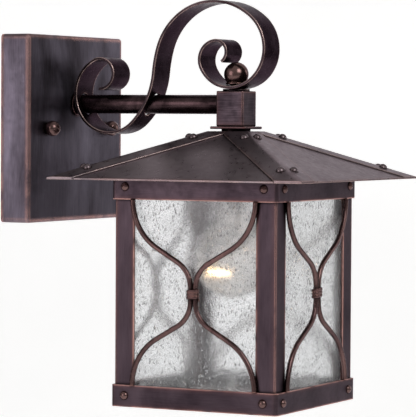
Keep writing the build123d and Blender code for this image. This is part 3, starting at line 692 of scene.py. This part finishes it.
def steps_between(low, high, step):
    """Even heights from low to high, about a step apart."""
    count = max(1, round((high - low) / step))
    return [low + (high - low) * number / count for number in range(count + 1)]


def wind(piece, rise, turns, steps):
    """Carry the outline being edited up a helix round Z, a given rise for each turn."""
    bpy.ops.object.mode_set(mode="OBJECT")
    winding = piece.modifiers.new("winding", "SCREW")
    winding.angle = 2 * math.pi
    winding.screw_offset = rise
    winding.iterations = turns
    winding.steps = steps
    winding.render_steps = steps
    apply_all(piece)


def close_ends(piece):
    """Close the two ends of a wound piece and point its faces outwards."""
    select_only(piece)
    bpy.ops.object.mode_set(mode="EDIT")
    bpy.ops.mesh.select_all(action="SELECT")
    bpy.ops.mesh.fill_holes(sides=0)
    bpy.ops.mesh.normals_make_consistent(inside=False)
    close_piece(piece, 60.0)


def quarter_turns(count):
    """A turn about the lantern's upright axis, in quarters of a circle."""
    turn = Matrix.Translation(lantern_axis) @ Matrix.Rotation(count * math.pi / 2, 4, "Z")
    return turn @ Matrix.Translation(-lantern_axis)


print("lantern axis at", [round(value, 4) for value in lantern_axis])

# %% [markdown]
# ## Bulb cap
# The cap of a household bulb is rolled from thin metal, so its thread is rounded.  It is
# turned with many rings, threaded, and closed above by a cone and the small tip that touches
# the holder's spring.

# %% Bulb cap
cap_low, cap_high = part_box("bulb_cap")
cap_radius = (cap_high.x - cap_low.x) / 2
cap_corners = 48
thread_pitch = 0.0036
thread_depth = 0.0007
thread_bottom = cap_low.z + 0.002
thread_top = cap_low.z + 0.0175
tip_radius = 0.00475
cone_top = cap_high.z - 0.0019
rings = [(cap_radius, height) for height in steps_between(cap_low.z, thread_top, thread_pitch / 8)]
rings += [
    (cap_radius - thread_depth, thread_top + 0.0006),
    (cap_radius - 0.0022, thread_top + 0.0022),
    (tip_radius + 0.001, cone_top),
    (tip_radius, cone_top + 0.0003),
    (tip_radius, cap_high.z - 0.0005),
    (tip_radius - 0.001, cap_high.z),
]
bulb_screw_cap = turned("bulb_screw_cap", rings, cap_corners)
cut_thread(bulb_screw_cap, thread_bottom, thread_top, thread_depth, thread_pitch, cap_radius - 0.0001)
close_piece(bulb_screw_cap)
stand(bulb_screw_cap, lantern_axis)
hand_over(bulb_screw_cap, nickel, "bulb", "bulb_cap")

# %% [markdown]
# ## Studs
# Two long machine screws hold the wall pan to the crossbar.  They are turned and threaded
# like the bulb cap, with a fine pitch, and laid along Y.

# %% Studs
stud_low, stud_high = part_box("mounting_studs")
stud_radius = (stud_high.z - stud_low.z) / 2
stud_length = stud_high.y - stud_low.y
stud_tip = stud_radius * 0.8
stud_chamfer = 0.0003
stud_pitch = 0.0008
stud_groove = 0.0003
stud_corners = 20
thread_start = 0.0002
for side in (-1, 1):
    spot = Vector((side * (stud_high.x - stud_radius), stud_high.y, 0.0))
    heights = steps_between(stud_chamfer, stud_length - stud_chamfer, stud_pitch / 4)
    rings = [(stud_tip, 0.0)] + [(stud_radius, height) for height in heights] + [(stud_tip, stud_length)]
    stud = turned("stud_left" if side < 0 else "stud_right", rings, stud_corners)
    cut_thread(stud, thread_start, stud_length - thread_start, stud_groove, stud_pitch, stud_radius * 0.9)
    close_piece(stud)
    stand(stud, spot, math.pi / 2)
    hand_over(stud, zinc, "fixture", "mounting_studs")

# %% [markdown]
# ## Inside the bulb
# A glass stem carries two thin wires.  The stem is turned with a foot that widens to meet
# the neck of the bulb, and the wires are thin rods that lean out from its tip.

# %% Stem and wires
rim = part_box("bulb_globe")[1].z
coil_height = rim - 0.058
coil_lean = Vector((-0.005, 0.010, 0.0))
coil_half = 0.009
wire_radius = 0.0004
wire_end = 0.0003
wire_foot = Vector((0.0022, 0.0, rim - 0.0255))
stem_rings = [
    (0.0028, rim - 0.0280), (0.0034, rim - 0.0262), (0.0036, rim - 0.020), (0.0042, rim - 0.012),
    (0.0052, rim - 0.006), (0.0070, rim - 0.0012), (0.0090, rim - 0.0002), (0.0110, rim),
    (0.0112, rim + 0.0015), (0.0100, rim + 0.0028),
]
bulb_mount = turned("bulb_mount", stem_rings, 32)
close_piece(bulb_mount)
stand(bulb_mount, lantern_axis)
hand_over(bulb_mount, bulb_glass, "bulb", "bulb_stem")

for side in (-1, 1):
    foot = Vector((side * wire_foot.x, wire_foot.y, wire_foot.z))
    head = Vector((0.0, side * coil_half, coil_height)) + coil_lean
    length = (head - foot).length
    wire_rings = [(wire_end, 0.0), (wire_radius, 0.0003), (wire_radius, length - 0.0004), (wire_end, length)]
    wire = turned("bulb_wire_left" if side < 0 else "bulb_wire_right", wire_rings, 10)
    close_piece(wire)
    wire.data.transform((head - foot).to_track_quat("Z", "Y").to_matrix().to_4x4())
    stand(wire, lantern_axis + foot)
    hand_over(wire, nickel, "bulb", "bulb_stem")

# %% [markdown]
# ## Filament
# A coiled tungsten wire hangs between the two wires.  One small circle is wound into a coil,
# and the coil is laid across the bulb and bent into a shallow bow, as a hot wire sags.

# %% Filament
coil_turns = 16
coil_steps = 12
coil_radius = 0.0009
coil_wire = 0.00022
coil_bow = 0.006
bpy.ops.object.select_all(action="DESELECT")
bpy.ops.mesh.primitive_circle_add(
    vertices=6, radius=coil_wire, location=(coil_radius, 0, 0), rotation=(math.pi / 2, 0, 0))
filament = start_piece("bulb_filament")
wind(filament, 2 * coil_half / coil_turns, coil_turns, coil_steps)
for vertex in filament.data.vertices:
    along = vertex.co.z - coil_half
    bow = coil_bow * (1 - (along / coil_half) ** 2)
    vertex.co = Vector((vertex.co.y - bow, along, vertex.co.x))
close_ends(filament)
stand(filament, lantern_axis + coil_lean + Vector((0.0, 0.0, coil_height)))
hand_over(filament, glow, "bulb", "bulb_stem")

# %% [markdown]
# ## Wound collars
# Where the two rods of a side meet, a wire is wound round them.  One flattened circle is
# wound into a round helix, the helix is pulled out sideways to fit two rods, and the result
# is copied to the other three sides.

# %% Wound collars
collar_low, collar_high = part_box("rod_collar_1")
collar_centre = (collar_low + collar_high) / 2
collar_size = collar_high - collar_low
rod_low, rod_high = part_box("grille_rod_1a")
rod_thick = rod_high.y - rod_low.y
wire_thick = (collar_size.y - rod_thick) / 2
wire_turns = 3
wire_steps = 48
wire_pitch = collar_size.z / (wire_turns + 1)
pull = (collar_size.x - collar_size.y) / 2
bend_width = 0.0008

bpy.ops.object.select_all(action="DESELECT")
wire_centre = (rod_thick + wire_thick) / 2
bpy.ops.mesh.primitive_circle_add(
    vertices=14, radius=wire_thick / 2, location=(wire_centre, 0, 0), rotation=(math.pi / 2, 0, 0))
wound = start_piece("wound_collar_1")
bpy.ops.mesh.select_all(action="SELECT")
bpy.ops.transform.resize(value=(1, 1, wire_pitch / wire_thick), center_override=(wire_centre, 0, 0))
wind(wound, wire_pitch, wire_turns, wire_steps)
for vertex in wound.data.vertices:
    vertex.co.x += pull * max(-1.0, min(1.0, vertex.co.x / bend_width))
    vertex.co.z -= wire_turns * wire_pitch / 2
close_ends(wound)
stand(wound, collar_centre)


def on_other_sides(piece, stem):
    """Copies of a front piece turned to the other three sides of the cage, with own meshes."""
    pieces = [piece]
    for side in range(1, 4):
        copy = bpy.data.objects.new(f"{stem}_{side + 1}", piece.data.copy())
        scene.collection.objects.link(copy)
        copy.data.transform(quarter_turns(side))
        pieces.append(copy)
    return pieces


for number, piece in enumerate(on_other_sides(wound, "wound_collar")):
    hand_over(piece, bronze_turned, "fixture", f"rod_collar_{number + 1}")

# %% [markdown]
# ## Seeded panes
# Each pane is a thin slab whose broad faces are divided and then moved by a soft noise, so
# that the reflections in them wander as they do in drawn glass.  The seeds are modelled once
# as a drop with a pointed tail and copied through the pane at different sizes.  They are
# hollows, so their finish bends light the other way from the glass round them.

# %% Panes and seeds
pane_low, pane_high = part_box("glass_pane_1")
pane_size = pane_high - pane_low
pane_cuts = 34
wave_depth = 0.0003
seeds_in_pane = 2300
seed_width = (0.00018, 0.00048)
seed_stretch = (1.1, 2.6)
tail_reach = 1.6
pane_margin = Vector((0.001, 0.0005, 0.001))

soft_noise = bpy.data.textures.new("drawn_glass", "CLOUDS")
soft_noise.noise_scale = 0.022
soft_noise.noise_depth = 1


def seed_drop():
    """One air bubble: a small sphere drawn out to a tail at one end."""
    bpy.ops.object.select_all(action="DESELECT")
    bpy.ops.mesh.primitive_uv_sphere_add(segments=8, ring_count=6, radius=1.0)
    drop = start_piece("seed_drop")
    choose_where(drop, "verts", lambda vertex: vertex.co.z > 0.9)
    bpy.ops.transform.translate(value=(0, 0, 0.5))
    choose_where(drop, "verts", lambda vertex: 0.3 < vertex.co.z < 0.95)
    bpy.ops.transform.resize(value=(0.8, 0.8, 1.15), center_override=(0, 0, 0))
    close_piece(drop, 180.0)
    return drop


def seeds_for_pane(number, drop):
    """Many copies of the drop, spread through the front pane, as one mesh."""
    chance = random.Random(number)
    shape = [vertex.co.copy() for vertex in drop.data.vertices]
    faces = [tuple(face.vertices) for face in drop.data.polygons]
    points, sides = [], []
    for _ in range(seeds_in_pane):
        wide = chance.uniform(*seed_width)
        tall = wide * chance.uniform(*seed_stretch)
        margin = Vector((wide, wide, tall * tail_reach)) + pane_margin
        spot = Vector([chance.uniform(pane_low[axis] + margin[axis], pane_high[axis] - margin[axis])
                       for axis in range(3)])
        start = len(points)
        points += [spot + Vector((corner.x * wide, corner.y * wide, corner.z * tall)) for corner in shape]
        sides += [tuple(index + start for index in face) for face in faces]
    mesh = bpy.data.meshes.new(f"seeds_{number}")
    mesh.from_pydata(points, [], sides)
    mesh.polygons.foreach_set("use_smooth", [True] * len(mesh.polygons))
    piece = bpy.data.objects.new(f"seeds_{number}", mesh)
    scene.collection.objects.link(piece)
    return piece


def seeded_pane(number):
    """The front pane's slab, divided and made gently uneven."""
    bpy.ops.object.select_all(action="DESELECT")
    bpy.ops.mesh.primitive_cube_add(
        size=1.0, location=(pane_low + pane_high) / 2, scale=pane_size - Vector((0, 2 * wave_depth, 0)))
    pane = start_piece(f"seeded_pane_{number}")
    choose_where(pane, "edges", lambda edge: edge.calc_length() > 2 * pane_size.y)
    bpy.ops.mesh.subdivide(number_cuts=pane_cuts)
    close_piece(pane, 30.0)
    uneven = pane.modifiers.new("uneven", "DISPLACE")
    uneven.texture = soft_noise
    uneven.strength = 2 * wave_depth
    uneven.mid_level = 0.5
    apply_all(pane)
    return pane


drop = seed_drop()
for number in range(1, 5):
    turn = quarter_turns(number - 1)
    pane = seeded_pane(number)
    pane.data.transform(turn)
    hand_over(pane, seeded_glass, "fixture", f"glass_pane_{number}")
    seeds = seeds_for_pane(number, drop)
    seeds.data.transform(turn)
    hand_over(seeds, bubble_air, "fixture", f"glass_pane_{number}")
bpy.data.objects.remove(drop)

# %% [markdown]
# ## Weld where the arm meets the pan
# The arm is welded to the pan's front, and the bead stays visible as a lumpy ring.  A torus
# is laid round the arm and pushed in and out by a coarse noise.

# %% Weld bead
ring_low, ring_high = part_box("arm_collar")
tube_low, tube_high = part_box("arm_tube")
tube_radius = (tube_high.z - tube_low.z) / 2
bead = (ring_high.y - ring_low.y) / 2
bead_middle = (0.0, (ring_low.y + ring_high.y) / 2 + bead * 0.1, (tube_low.z + tube_high.z) / 2)
lump_size = 0.0035
lump_height = 0.0011
bpy.ops.object.select_all(action="DESELECT")
bpy.ops.mesh.primitive_torus_add(
    major_segments=72, minor_segments=14, major_radius=tube_radius + bead * 0.6,
    minor_radius=bead * 0.85, location=bead_middle, rotation=(math.pi / 2, 0, 0))
weld = start_piece("arm_weld")
close_piece(weld, 180.0)
lumps = bpy.data.textures.new("weld_lumps", "CLOUDS")
lumps.noise_scale = lump_size
ragged = weld.modifiers.new("ragged", "DISPLACE")
ragged.texture = lumps
ragged.strength = lump_height
apply_all(weld)
hand_over(weld, bronze_arm, "fixture", "arm_collar")
